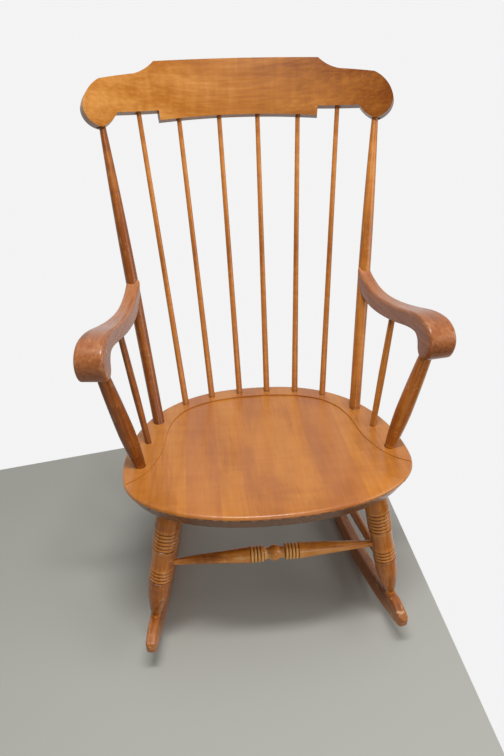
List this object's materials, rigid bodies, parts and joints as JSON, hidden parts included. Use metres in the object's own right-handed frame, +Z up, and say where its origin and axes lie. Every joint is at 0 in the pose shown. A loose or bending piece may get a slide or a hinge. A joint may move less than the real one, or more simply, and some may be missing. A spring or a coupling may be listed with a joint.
{
  "type": "rocking chair",
  "caption": "Wooden spindle-back rocking chair with a dished plank seat, a bent shaped crest rail, rolled arms, ring-turned legs and sawn rockers.",
  "frame": {"origin": "on the floor, midway between the chair's front and the rear tips of the rockers, on the chair's centre line", "axes": "+Z up, the sitter faces -Y, +X is the sitter's left"},
  "size_m": [0.6598, 0.7246, 1.0617],
  "materials": {
    "seat_wood": "glued maple boards, amber-brown stain, semi-gloss lacquer",
    "crest_wood": "maple with lengthwise figure, amber-brown stain, semi-gloss lacquer",
    "arm_wood": "maple, reddish-brown stain, worn semi-gloss lacquer",
    "turned_wood": "turned maple, amber-brown stain, semi-gloss lacquer, dark in the ring grooves",
    "spindle_wood": "turned maple, brown stain, semi-gloss lacquer",
    "rocker_wood": "sawn maple, brown stain, lacquer worn at the tips",
    "pin_wood": "plain birch dowel, unstained inside the joints"
  },
  "bodies": {
    "root": {"arm_dowel_left": "pin_wood", "arm_dowel_right": "pin_wood", "arm_left": "arm_wood", "arm_post_left": "turned_wood", "arm_post_right": "turned_wood", "arm_right": "arm_wood", "arm_spindle_left": "spindle_wood", "arm_spindle_right": "spindle_wood", "back_post_left": "spindle_wood", "back_post_right": "spindle_wood", "back_spindle_1": "spindle_wood", "back_spindle_2": "spindle_wood", "back_spindle_3": "spindle_wood", "back_spindle_4": "spindle_wood", "back_spindle_5": "spindle_wood", "back_spindle_6": "spindle_wood", "crest_pins": "pin_wood", "crest_rail": "crest_wood", "front_leg_left": "turned_wood", "front_leg_right": "turned_wood", "front_stretcher": "turned_wood", "rear_leg_left": "turned_wood", "rear_leg_right": "turned_wood", "rear_stretcher": "turned_wood", "rocker_left": "rocker_wood", "rocker_pins": "pin_wood", "rocker_right": "rocker_wood", "seat": "seat_wood", "side_stretcher_left": "turned_wood", "side_stretcher_right": "turned_wood"}
  },
  "joints": []
}
